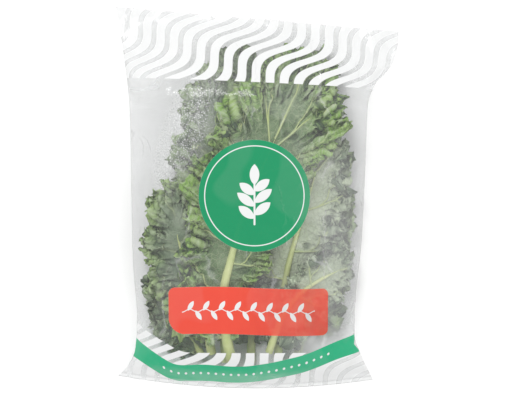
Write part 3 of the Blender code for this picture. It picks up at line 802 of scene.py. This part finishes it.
def film_side(u, v, height, seed, front):
    """One side of the sleeve, creased, by ring and column: its points, the x of each on the flat film, and
    whether it is the front, 1 for the printed side and 0 for the back. The back is creased only towards the
    sides, where it has left the floor."""
    u, v = np.meshgrid(u, v)
    x, y = sleeve_plan(u, v)
    sealed = 1 - smooth_step(*SEAL_ENDS, v)
    z = height(u, v) * (1 - sealed) + (SEAL_HEIGHT + SEAL_GAP * front) * sealed
    steps = np.hypot(np.diff(x, axis=1, prepend=x[:, :1]), np.diff(z, axis=1, prepend=z[:, :1]))
    flat = np.cumsum(steps, axis=1)
    centre = flat[:, u.shape[1] // 2][:, None]
    flat = (flat - centre) * (1 if front else -1) + middle_x(v)
    creases = film_creases(x, y, u, v, seed)
    fade = (1 - smooth_step(*FOLDS_END, np.abs(u))) * smooth_step(*FOLDS_START, v)
    if front:
        z = z + creases * fade
    else:
        z = z + np.abs(creases) * fade * smooth_step(FLAT_SHARE - 0.2, 0.8, np.abs(u))
    waves = sum(share * np.sin(x * turns + start) for turns, start, share in MOUTH_WAVES)
    waves = waves * (MOUTH_WAVE * front)
    z = z + smooth_step(*MOUTH_WAVES_START, v) * waves * (1 - np.abs(u) ** 6)
    return np.stack([x, y, z], axis=-1), flat, np.full(x.shape, front)


def film_sleeve(material):
    """The sleeve as one sheet of film: printed front and plain back, creased together at the sides, sealed at
    the bottom and open at the mouth."""
    near_seal = np.linspace(0, SEAL_STRETCH, SEAL_RINGS)
    v = np.concatenate([near_seal[:-1], np.linspace(SEAL_STRETCH, 1, BAG_RINGS)])
    across = np.sin(np.linspace(-1, 1, FRONT_COLUMNS) * COLUMN_CROWDING) / math.sin(COLUMN_CROWDING)
    printed = film_side(across, v, front_height, 5, 1.0)
    plain = film_side(across[::-2], v, back_height, 17, 0.0)
    points, flat, front = (np.concatenate([a, b[:, 1:-1]], axis=1) for a, b in zip(printed, plain))
    rings, around = points.shape[:2]
    index = np.arange(rings * around).reshape(rings, around)

    # The back has half as many columns. It shares every other point of the front's bottom edge: the seal
    last = FRONT_COLUMNS - 1
    index[0, 1:last:2] = index[0, 2:last + 1:2]
    index[0, last + 1:] = index[0, last - 2:1:-2]
    ahead = np.roll(index, -1, axis=1)
    quads = np.stack([index[:-1], ahead[:-1], ahead[1:], index[1:]], axis=-1).reshape(-1, 4)
    used, faces = np.unique(quads, return_inverse=True)
    sleeve = mesh_object("film_sleeve_fine", points.reshape(-1, 3)[used], faces.reshape(-1, 4), material)
    place = np.stack([flat, points[..., 1], front], axis=-1).reshape(-1, 3)
    attribute(sleeve, "print", "FLOAT_VECTOR", place[used])
    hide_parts("film_sleeve")
    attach(sleeve, "root")
    sleeve.visible_shadow = False


# Materials

class Number:
    """A number that varies over a surface. Arithmetic on it adds Math nodes to the material."""

    def __init__(self, tree, socket):
        self.tree, self.socket = tree, socket

    def math(self, operation, *others, clamp=False):
        node = self.tree.nodes.new("ShaderNodeMath")
        node.operation = operation
        node.use_clamp = clamp
        for socket, value in zip(node.inputs, (self, *others)):
            feed(self.tree, socket, value)
        return Number(self.tree, node.outputs[0])

    def __add__(self, other):
        return self.math("ADD", other)

    def __sub__(self, other):
        return self.math("SUBTRACT", other)

    def __mul__(self, other):
        return self.math("MULTIPLY", other)

    def __truediv__(self, other):
        return self.math("DIVIDE", other)

    def __neg__(self):
        return self.math("MULTIPLY", -1)

    def to(self, power):
        return self.math("POWER", power)

    def least(self, other):
        return self.math("MINIMUM", other)

    def most(self, other):
        return self.math("MAXIMUM", other)

    def inside(self, soft=0.00012):
        """1 where this distance is below zero and 0 outside, with a thin soft edge."""
        return (self * (-0.5 / soft) + 0.5).math("MULTIPLY", 1, clamp=True)

    def ramp(self, low, high):
        """0 below low and 1 above high."""
        return ((self - low) * (1 / (high - low))).math("SMOOTH_MIN", 1, 0.2).math("MAXIMUM", 0)


def feed(tree, socket, value):
    """Sets a socket to a plain value, or links it to a Number or another node's socket."""
    if isinstance(value, Number):
        tree.links.new(value.socket, socket)
    elif isinstance(value, bpy.types.NodeSocket):
        tree.links.new(value, socket)
    else:
        socket.default_value = value


def new_material(name):
    material = bpy.data.materials.new(name)
    material.use_nodes = True
    tree = material.node_tree
    tree.nodes.clear()
    return material, tree


def named(tree, name, output):
    """A vertex attribute, by name."""
    node = tree.nodes.new("ShaderNodeAttribute")
    node.attribute_name = name
    return node.outputs[output]


def parts_of(tree, vector):
    node = tree.nodes.new("ShaderNodeSeparateXYZ")
    tree.links.new(vector, node.inputs[0])
    return [Number(tree, socket) for socket in node.outputs]


def vector_of(tree, *values):
    node = tree.nodes.new("ShaderNodeCombineXYZ")
    for socket, value in zip(node.inputs, values):
        feed(tree, socket, value)
    return node.outputs[0]


def grain(tree, vector, scale, detail=3.0, roughness=0.55):
    """Cloudy noise, about 0.5 on average."""
    node = tree.nodes.new("ShaderNodeTexNoise")
    tree.links.new(vector, node.inputs["Vector"])
    node.inputs["Scale"].default_value = scale
    node.inputs["Detail"].default_value = detail
    node.inputs["Roughness"].default_value = roughness
    return Number(tree, node.outputs[0])


def cells(tree, vector, scale):
    """Distance from the walls of a net of cells."""
    node = tree.nodes.new("ShaderNodeTexVoronoi")
    node.feature = "DISTANCE_TO_EDGE"
    tree.links.new(vector, node.inputs["Vector"])
    node.inputs["Scale"].default_value = scale
    return Number(tree, node.outputs[0])


def blend(tree, share, first, second):
    """A colour between two, each a plain colour or a socket."""
    node = tree.nodes.new("ShaderNodeMix")
    node.data_type = "RGBA"
    node.clamp_factor = True
    feed(tree, node.inputs["Factor"], share)
    for socket, value in zip((node.inputs[6], node.inputs[7]), (first, second)):
        feed(tree, socket, (*value, 1) if isinstance(value, tuple) else value)
    return node.outputs[2]


def bumped(tree, height, depth):
    node = tree.nodes.new("ShaderNodeBump")
    node.inputs["Distance"].default_value = depth
    feed(tree, node.inputs["Height"], height)
    return node.outputs[0]


def principled(tree, colour, roughness, normal=None, specular=0.5):
    shader = tree.nodes.new("ShaderNodeBsdfPrincipled")
    feed(tree, shader.inputs["Base Color"], (*colour, 1) if isinstance(colour, tuple) else colour)
    feed(tree, shader.inputs["Roughness"], roughness)
    shader.inputs["Specular IOR Level"].default_value = specular
    if normal is not None:
        tree.links.new(normal, shader.inputs["Normal"])
    return shader


def mixed(tree, share, first, second):
    shader = tree.nodes.new("ShaderNodeMixShader")
    feed(tree, shader.inputs[0], share)
    tree.links.new(first.outputs[0], shader.inputs[1])
    tree.links.new(second.outputs[0], shader.inputs[2])
    return shader


def output(tree, shader):
    node = tree.nodes.new("ShaderNodeOutputMaterial")
    tree.links.new(shader.outputs[0], node.inputs["Surface"])


UPPER_DARK, UPPER_LIGHT, UPPER_YOUNG = (0.138, 0.205, 0.120), (0.385, 0.455, 0.315), (0.310, 0.460, 0.120)
UNDER_DEEP, UNDER_PALE, UNDER_YOUNG = (0.124, 0.206, 0.088), (0.550, 0.625, 0.460), (0.215, 0.410, 0.045)
VEIN_PALE = (0.470, 0.550, 0.330)
# Painted shade: the dark colour painted into the hollows and pits of the curls
HOLLOW_SHADE = (0.034, 0.076, 0.029)
STEM_GREEN, STEM_PALE = (0.470, 0.560, 0.190), (0.700, 0.740, 0.390)


def leaf_finish():
    """Kale blade: dark, blistered and waxy on its upper side, pale and netted with veins on its underside,
    with fresh yellow-green frills on the younger leaves. Its curls get painted shade in their hollows and
    pits, a painted highlight on their crests and a fine painted mottle of light and shade on the frills."""
    material, tree = new_material("Kale blade")
    flat = named(tree, "flat", "Vector")
    row = Number(tree, named(tree, "row", "Fac"))
    vein = Number(tree, named(tree, "vein", "Fac"))
    under = Number(tree, named(tree, "underside", "Fac"))
    tint = Number(tree, named(tree, "tint", "Fac"))
    cloud = grain(tree, flat, 42, 4)
    fleck = grain(tree, flat, 420, 3)
    coarse, fine = cells(tree, flat, 210), cells(tree, flat, 620)
    net = (coarse * 9).math("MINIMUM", 1)
    small_net = (fine * 7).math("MINIMUM", 1)
    frill = row.ramp(0.45, 0.95)
    young = (frill * tint * (cloud * 1.7)).math("MULTIPLY", 1.7, clamp=True)
    upper = blend(tree, cloud.ramp(0.35, 0.70), UPPER_DARK, UPPER_LIGHT)
    upper = blend(tree, young, upper, UPPER_YOUNG)
    upper = blend(tree, vein * 0.75, upper, VEIN_PALE)
    bloom = cloud.ramp(0.38, 0.72) * 0.75 + fleck * 0.35
    lower = blend(tree, bloom * 0.7 + (tint * -1.06 + 0.58), UNDER_DEEP, UNDER_PALE)
    lower = blend(tree, young, lower, UNDER_YOUNG)
    veined = (vein * 0.85).most((net * -1 + 1) * 0.45).most((small_net * -1 + 1) * 0.16)
    lower = blend(tree, veined, lower, VEIN_PALE)
    colour = blend(tree, under, upper, lower)
    # Painted shade and highlight: a fine mottle darkens and lightens the frills as if their tiny curls shaded
    # themselves; it also bumps them
    curl_bump_and_painted_shade = (grain(tree, flat, 400, 2) - 0.5) * row.ramp(0.25, 0.60)
    crest = Number(tree, named(tree, "crest", "Fac")) + curl_bump_and_painted_shade * 2.4
    # Painted shade in the hollows and pits, and a painted highlight in the underside's pale colour on the
    # crests
    painted_hollow_shade = (-crest + 0.5).math("MULTIPLY", 1.5, clamp=True)
    colour = blend(tree, painted_hollow_shade, colour, HOLLOW_SHADE)
    colour = blend(tree, (crest - 0.6).math("MULTIPLY", 0.7, clamp=True), colour, UNDER_PALE)
    height = net * 0.6 + small_net * 0.25 + fleck * 0.15 + curl_bump_and_painted_shade * 3
    normal = bumped(tree, height, 0.0007)
    output(tree, principled(tree, colour, cloud * 0.25 + 0.40, normal, 0.45))
    return material


def stem_finish(name, pale):
    """Smooth skin from stem green to a paler colour, with faint lengthways streaks."""
    material, tree = new_material(name)
    place = tree.nodes.new("ShaderNodeTexCoord").outputs["Object"]
    x, y, z = parts_of(tree, place)
    streaks = grain(tree, vector_of(tree, x * 900, y * 60, z * 900), 1.0, 3)
    patches = grain(tree, place, 55, 3)
    colour = blend(tree, patches.ramp(0.35, 0.7) * 0.7 + streaks * 0.3, STEM_GREEN, pale)
    normal = bumped(tree, streaks, 0.0004)
    output(tree, principled(tree, colour, 0.42, normal, 0.5))
    return material


WHITE_INK, GREEN_INK, RED_INK = (0.770, 0.777, 0.775), (0.001, 0.268, 0.108), (0.780, 0.068, 0.038)
RIBBON_INK = (0.004, 0.384, 0.180)


def disc(x, y, centre, radius):
    """Distance outside a circle."""
    dx, dy = x - centre[0], y - centre[1]
    return (dx * dx + dy * dy).math("SQRT") - radius


def leaflet(x, y, root, angle, length, width):
    """Distance outside a pointed leaf shape that grows from a root at an angle."""
    c, s = math.cos(angle), math.sin(angle)
    dx, dy = x - root[0], y - root[1]
    along = dx * c + dy * s - length / 2
    aside = (dy * c - dx * s).math("ABSOLUTE")
    radius = (length * length / 4 + width * width / 4) / width
    return (along * along + (aside + (radius - width / 2)).to(2)).math("SQRT") - radius


def rounded_box(x, y, centre, half, corner):
    """Distance outside a box with round corners."""
    dx = (x - centre[0]).math("ABSOLUTE") - half[0] + corner
    dy = (y - centre[1]).math("ABSOLUTE") - half[1] + corner
    outer = (dx.most(0).to(2) + dy.most(0).to(2)).math("SQRT")
    return outer + dx.most(dy).least(0) - corner


def wavy_stripes(x, y):
    """1 on the white stripes, which run up the film in long even waves."""
    q = y + x * STRIPE_LEAN + STRIPE_START[1]
    swing = (q - (q * (TURN / STRIPE_WAVE)).math("SINE") * (STRIPE_WAVE / TURN)) * STRIPE_SWING
    place = ((x - swing + STRIPE_START[0]) * (1 / STRIPE_PITCH)).math("FRACT")
    edge = (place - STRIPE_WHITE / 2).math("ABSOLUTE") - STRIPE_WHITE / 2
    return (edge * STRIPE_PITCH).inside(0.00018)


def sprig(x, y, middle, height):
    """Distance outside a plain upright sprig: a stalk with pairs of leaves and one at its tip."""
    foot = middle[1] - height / 2
    stalk = rounded_box(x, y, (middle[0], foot + height * 0.36), (0.0008, height * 0.36), 0.0008)
    top = leaflet(x, y, (middle[0], foot + height * 0.66), math.radians(90), height * 0.34, 0.0082)
    shape = stalk.least(top)
    for level, reach in ((0.14, 0.33), (0.34, 0.36), (0.53, 0.31)):
        for side in (-1, 1):
            root = (middle[0], foot + height * (level + 0.03 * side))
            angle = math.radians(90 - side * 52)
            shape = shape.least(leaflet(x, y, root, angle, height * reach, 0.0078))
    return shape


def wavy_bands(x, y):
    """1 on the white stripes of the sleeve's upper and lower bands."""
    upper = ((x * UPPER_BAND[1] + UPPER_BAND[0]) - y).inside(INK_EDGE)
    climb = (-x + LOWER_BAND[1]).math("SMOOTH_MAX", 0, 0.012) * LOWER_BAND[2]
    lower = (y - LOWER_BAND[0] - climb).inside(INK_EDGE)
    return wavy_stripes(x, y) * upper.most(lower)


def label_shapes(x, y):
    """Distances outside the label, which is rounder at its lower left, and outside the vine along it."""
    sway = (x * 42).math("SINE") * 0.0011
    heel = (-x - 0.045).ramp(0.0, 0.02) * (-y - 0.098).ramp(0.0, 0.01)
    label = rounded_box(x, y + sway, LABEL[:2], LABEL[2:], heel * LABEL_HEEL + LABEL_CORNER)
    across, up = x - LABEL[0], y + sway - LABEL[1]
    vine = (up - (across * (TURN / VINE_PITCH)).math("SINE") * VINE_WAVE).math("ABSOLUTE") - VINE_HALF
    vine = vine.most(across.math("ABSOLUTE") - VINE_REACH * VINE_PITCH)
    for shift, angle in ((0.25, 58), (0.75, -58)):
        near = ((across * (1 / VINE_PITCH) + shift).math("FRACT") - 0.5) * VINE_PITCH
        leaves = leaflet(near, up, (-0.0016, 0.0), math.radians(angle), *VINE_LEAF)
        vine = vine.least(leaves.most((across - near).math("ABSOLUTE") - LEAF_REACH * VINE_PITCH))
    return label, vine


def ribbon_shapes(x, y):
    """Distances outside the ribbon, which climbs to both sides, and outside the row of dots along it."""
    sag = (x * 105 + 0.4).math("SINE") * 0.0008 + RIBBON[1]
    for side, start, slope, rounding in RIBBON_CLIMBS:
        sag = sag + (x * side - start).math("SMOOTH_MAX", 0, rounding) * slope
    off = (y - sag).math("ABSOLUTE")
    ribbon = (off - RIBBON[3]).most((x - RIBBON[0]).math("ABSOLUTE") - RIBBON[2] - off * 0.7)
    bead = ((x / DOT_PITCH).math("FRACT") - 0.5) * DOT_PITCH
    dots = (bead * bead + off * off).math("SQRT") - DOT_RADIUS
    return ribbon, dots.most((x - bead - RIBBON[0]).math("ABSOLUTE") - DOT_REACH)


def film_print(tree, x, y, front):
    """The print: its colour, how much ink there is, and the distance outside the label."""
    ribbon, dots = ribbon_shapes(x, y)
    badge = disc(x, y, DISC[:2], DISC[2])
    ring = (badge + DISC_RING[0]).math("ABSOLUTE") - DISC_RING[1]
    plant = sprig(x, y, (DISC[0], DISC[1] + SPRIG_RISE), SPRIG_HEIGHT)
    label, vine = label_shapes(x, y)
    colour, ink = WHITE_INK, wavy_bands(x, y) * front
    for shape, paint in (
        (ribbon, RIBBON_INK), (dots, WHITE_INK), (badge, GREEN_INK), (ring, WHITE_INK), (plant, WHITE_INK),
        (label, RED_INK), (vine, WHITE_INK),
    ):
        covered = shape.inside() * front
        colour = blend(tree, covered, colour, paint)
        ink = ink.most(covered)
    return colour, ink, label


def dew(tree, x, y, place, haze, speckle):
    """Dew inside the film at the upper left, thickest in the middle of its patch."""
    beads = cells(tree, place, DROPS_A_METRE).ramp(0.05, 0.24) * speckle.ramp(0.38, 0.58)
    away = (((x - DEW[0] - y * 0.37) * 2.4).to(2) + (y - DEW[1]).to(2)).math("SQRT")
    return (-away + haze * 0.03 + DEW[2]).ramp(0.0, 0.034) * (beads * 0.85 + 0.15)


def fog_and_painted_light(x, y):
    """Fog inside the film, down the right side, and more of it at the lower right, where its milky white is
    also painted light over the shade that falls on the floor there.
    """
    side = x.ramp(0.030, 0.060) * (-y + 0.06).ramp(0.0, 0.04)
    return side + x.ramp(0.020, 0.055) * (-y - 0.108).ramp(0.0, 0.022) * 2.2


def fold_highlight_lines(tree, x, y, front, place, haze):
    """Lines along sharp folds of the film, here and there, which the finish paints pale as highlights."""
    bent = vector_of(tree, x * 34 + haze * 1.3, y * 15 + x * 9 + haze, front * 5)
    return (cells(tree, bent, 1.0) * -26 + 1).most(0) * grain(tree, place, 31, 1).ramp(0.50, 0.62)


def empty_mouth(x, y):
    """1 on the upper part of the film, where it is empty round the tip of the bunch."""
    round_tip = (((x - 0.004) / 0.082).to(2) + ((y - 0.086) / 0.052).to(2)).math("SQRT")
    return round_tip.ramp(0.95, 1.35) * y.ramp(0.080, 0.100)


def film_skin(tree, colour, solid, normal):
    """Surface of a clear film with a gloss, which a colour covers by its share."""
    body = principled(tree, colour, 0.36, normal, 0.2)
    glance = tree.nodes.new("ShaderNodeLayerWeight")
    glance.inputs["Blend"].default_value = 0.5
    tree.links.new(normal, glance.inputs["Normal"])
    mirror = Number(tree, glance.outputs["Facing"]).to(4) * 0.60 + 0.024
    shown = -((-solid + 1) * (-mirror + 1)) + 1
    gloss = tree.nodes.new("ShaderNodeBsdfGlossy")
    gloss.inputs["Roughness"].default_value = 0.10
    tree.links.new(normal, gloss.inputs["Normal"])
    clear = tree.nodes.new("ShaderNodeBsdfTransparent")
    clear.inputs["Color"].default_value = (0.925, 0.927, 0.930, 1)
    return mixed(tree, shown, clear, mixed(tree, mirror / shown, body, gloss))


def film_finish():
    """Clear, faintly milky film with an ink print on its front: wavy white bands, a green disc with a sprig,
    a red label with a vine and a green ribbon with dots. Here and there it has a painted sheen in
    sharp-edged patches, painted highlights along sharp folds and painted light at the lower right."""
    material, tree = new_material("Printed clear film")
    x, y, front = parts_of(tree, named(tree, "print", "Vector"))
    colour, ink, label = film_print(tree, x, y, front)
    place = tree.nodes.new("ShaderNodeTexCoord").outputs["Object"]
    haze = grain(tree, place, 24, 4)
    # Painted sheen: sharp-edged patches where the film is painted a little milkier and its ink a little
    # whiter, as if its facets caught the light
    painted_facet_sheen = grain(tree, place, 13, 1).ramp(0.515, 0.54)
    speckle = grain(tree, place, 760, 2)
    # Painted highlight: pale lines along the sharp folds, which also bump the film
    folds = fold_highlight_lines(tree, x, y, front, place, haze)
    # Milky share of the film, with painted sheen in patches, painted highlights along the folds and painted
    # light at the lower right
    milky = (
        empty_mouth(x, y) * 0.34 + painted_facet_sheen * 0.04 + haze * 0.06 + 0.030
        + dew(tree, x, y, place, haze, speckle) * 0.66 + fog_and_painted_light(x, y) * 0.15 + folds * 0.20
    )
    # Painted sheen on the ink, in the same patches
    colour = blend(tree, painted_facet_sheen * 0.03, colour, WHITE_INK)
    slanted = vector_of(tree, x * 60, (y + x * 0.8) * 26, 0.0)
    thin = label.inside() * x.ramp(-0.02, 0.05) * grain(tree, slanted, 1.0, 2)
    solid = milky.most(ink * (thin * -0.42 + 0.975))
    relief = haze * 0.7 + grain(tree, place, 95, 2) * 0.22 + folds * 0.25 + speckle * 0.02
    output(tree, film_skin(tree, colour, solid, bumped(tree, relief, 0.0011)))
    return material


# Floor, light and camera

def floor():
    material, tree = new_material("Pale floor")
    output(tree, principled(tree, (0.97, 0.97, 0.97), 0.9, specular=0.1))
    corners = [(x * FLOOR_HALF, y * FLOOR_HALF, -FLOOR_GAP) for x, y in ((-1, -1), (1, -1), (1, 1), (-1, 1))]
    mesh_object("floor", np.array(corners), np.array([[0, 1, 2, 3]]), material)


def soft_light(name, place, size, power, lights=True, shines=True):
    """A panel that faces the middle. It can be left out of the diffuse light or out of the reflections."""
    light = bpy.data.lights.new(name, "AREA")
    light.shape = "RECTANGLE"
    light.size, light.size_y = size
    light.energy = power
    lamp = bpy.data.objects.new(name, light)
    lamp.location = place
    lamp.visible_diffuse, lamp.visible_glossy = lights, shines
    lamp.rotation_euler = (-Vector(place)).to_track_quat("-Z", "Y").to_euler()
    bpy.context.scene.collection.objects.link(lamp)


def studio():
    soft_light("Key softbox", (-0.60, 1.35, 3.0), (1.1, 1.1), 43, shines=False)
    soft_light("Fill softbox", (2.0, -0.4, 2.4), (1.6, 1.6), 8)
    soft_light("Glint strip", (-0.9, 3.1, 2.3), (2.4, 0.5), 46, lights=False)
    world = bpy.data.worlds.new("Studio")
    world.use_nodes = True
    world.node_tree.nodes["Background"].inputs["Color"].default_value = (1, 1, 1, 1)
    world.node_tree.nodes["Background"].inputs["Strength"].default_value = 0.84
    bpy.context.scene.world = world
    bpy.context.scene.view_settings.view_transform = "Standard"


def camera():
    """Looks straight down, with the photograph's framing at the height of the side creases."""
    lens = bpy.data.cameras.new("Camera")
    lens.sensor_width = SENSOR
    lens.lens = SENSOR * CAMERA_HEIGHT / (PICTURE[0] * PIXEL)
    lens.clip_start = 0.05
    over = bpy.data.objects.new("Camera", lens)
    x = (PICTURE[0] / 2 - SLEEVE_MIDDLE[0]) * PIXEL
    y = (SLEEVE_MIDDLE[1] - PICTURE[1] / 2) * PIXEL
    over.location = (x, y, FOCUS_HEIGHT + CAMERA_HEIGHT)
    bpy.context.scene.collection.objects.link(over)
    bpy.context.scene.camera = over


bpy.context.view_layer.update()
camera()
studio()
floor()
blade_finish = leaf_finish()
stem_tree = rib_tree(stem_finish("Stem skin", STEM_PALE))
vein_tree = rib_tree(stem_finish("Vein skin", VEIN_PALE))
blades = {leaf_name: fine_blade(leaf) for leaf_name, leaf in LEAVES.items()}
settle(blades)
for leaf_name, leaf in LEAVES.items():
    grow_leaf(leaf_name, leaf, blades[leaf_name], blade_finish, stem_tree, vein_tree)
film_sleeve(film_finish())
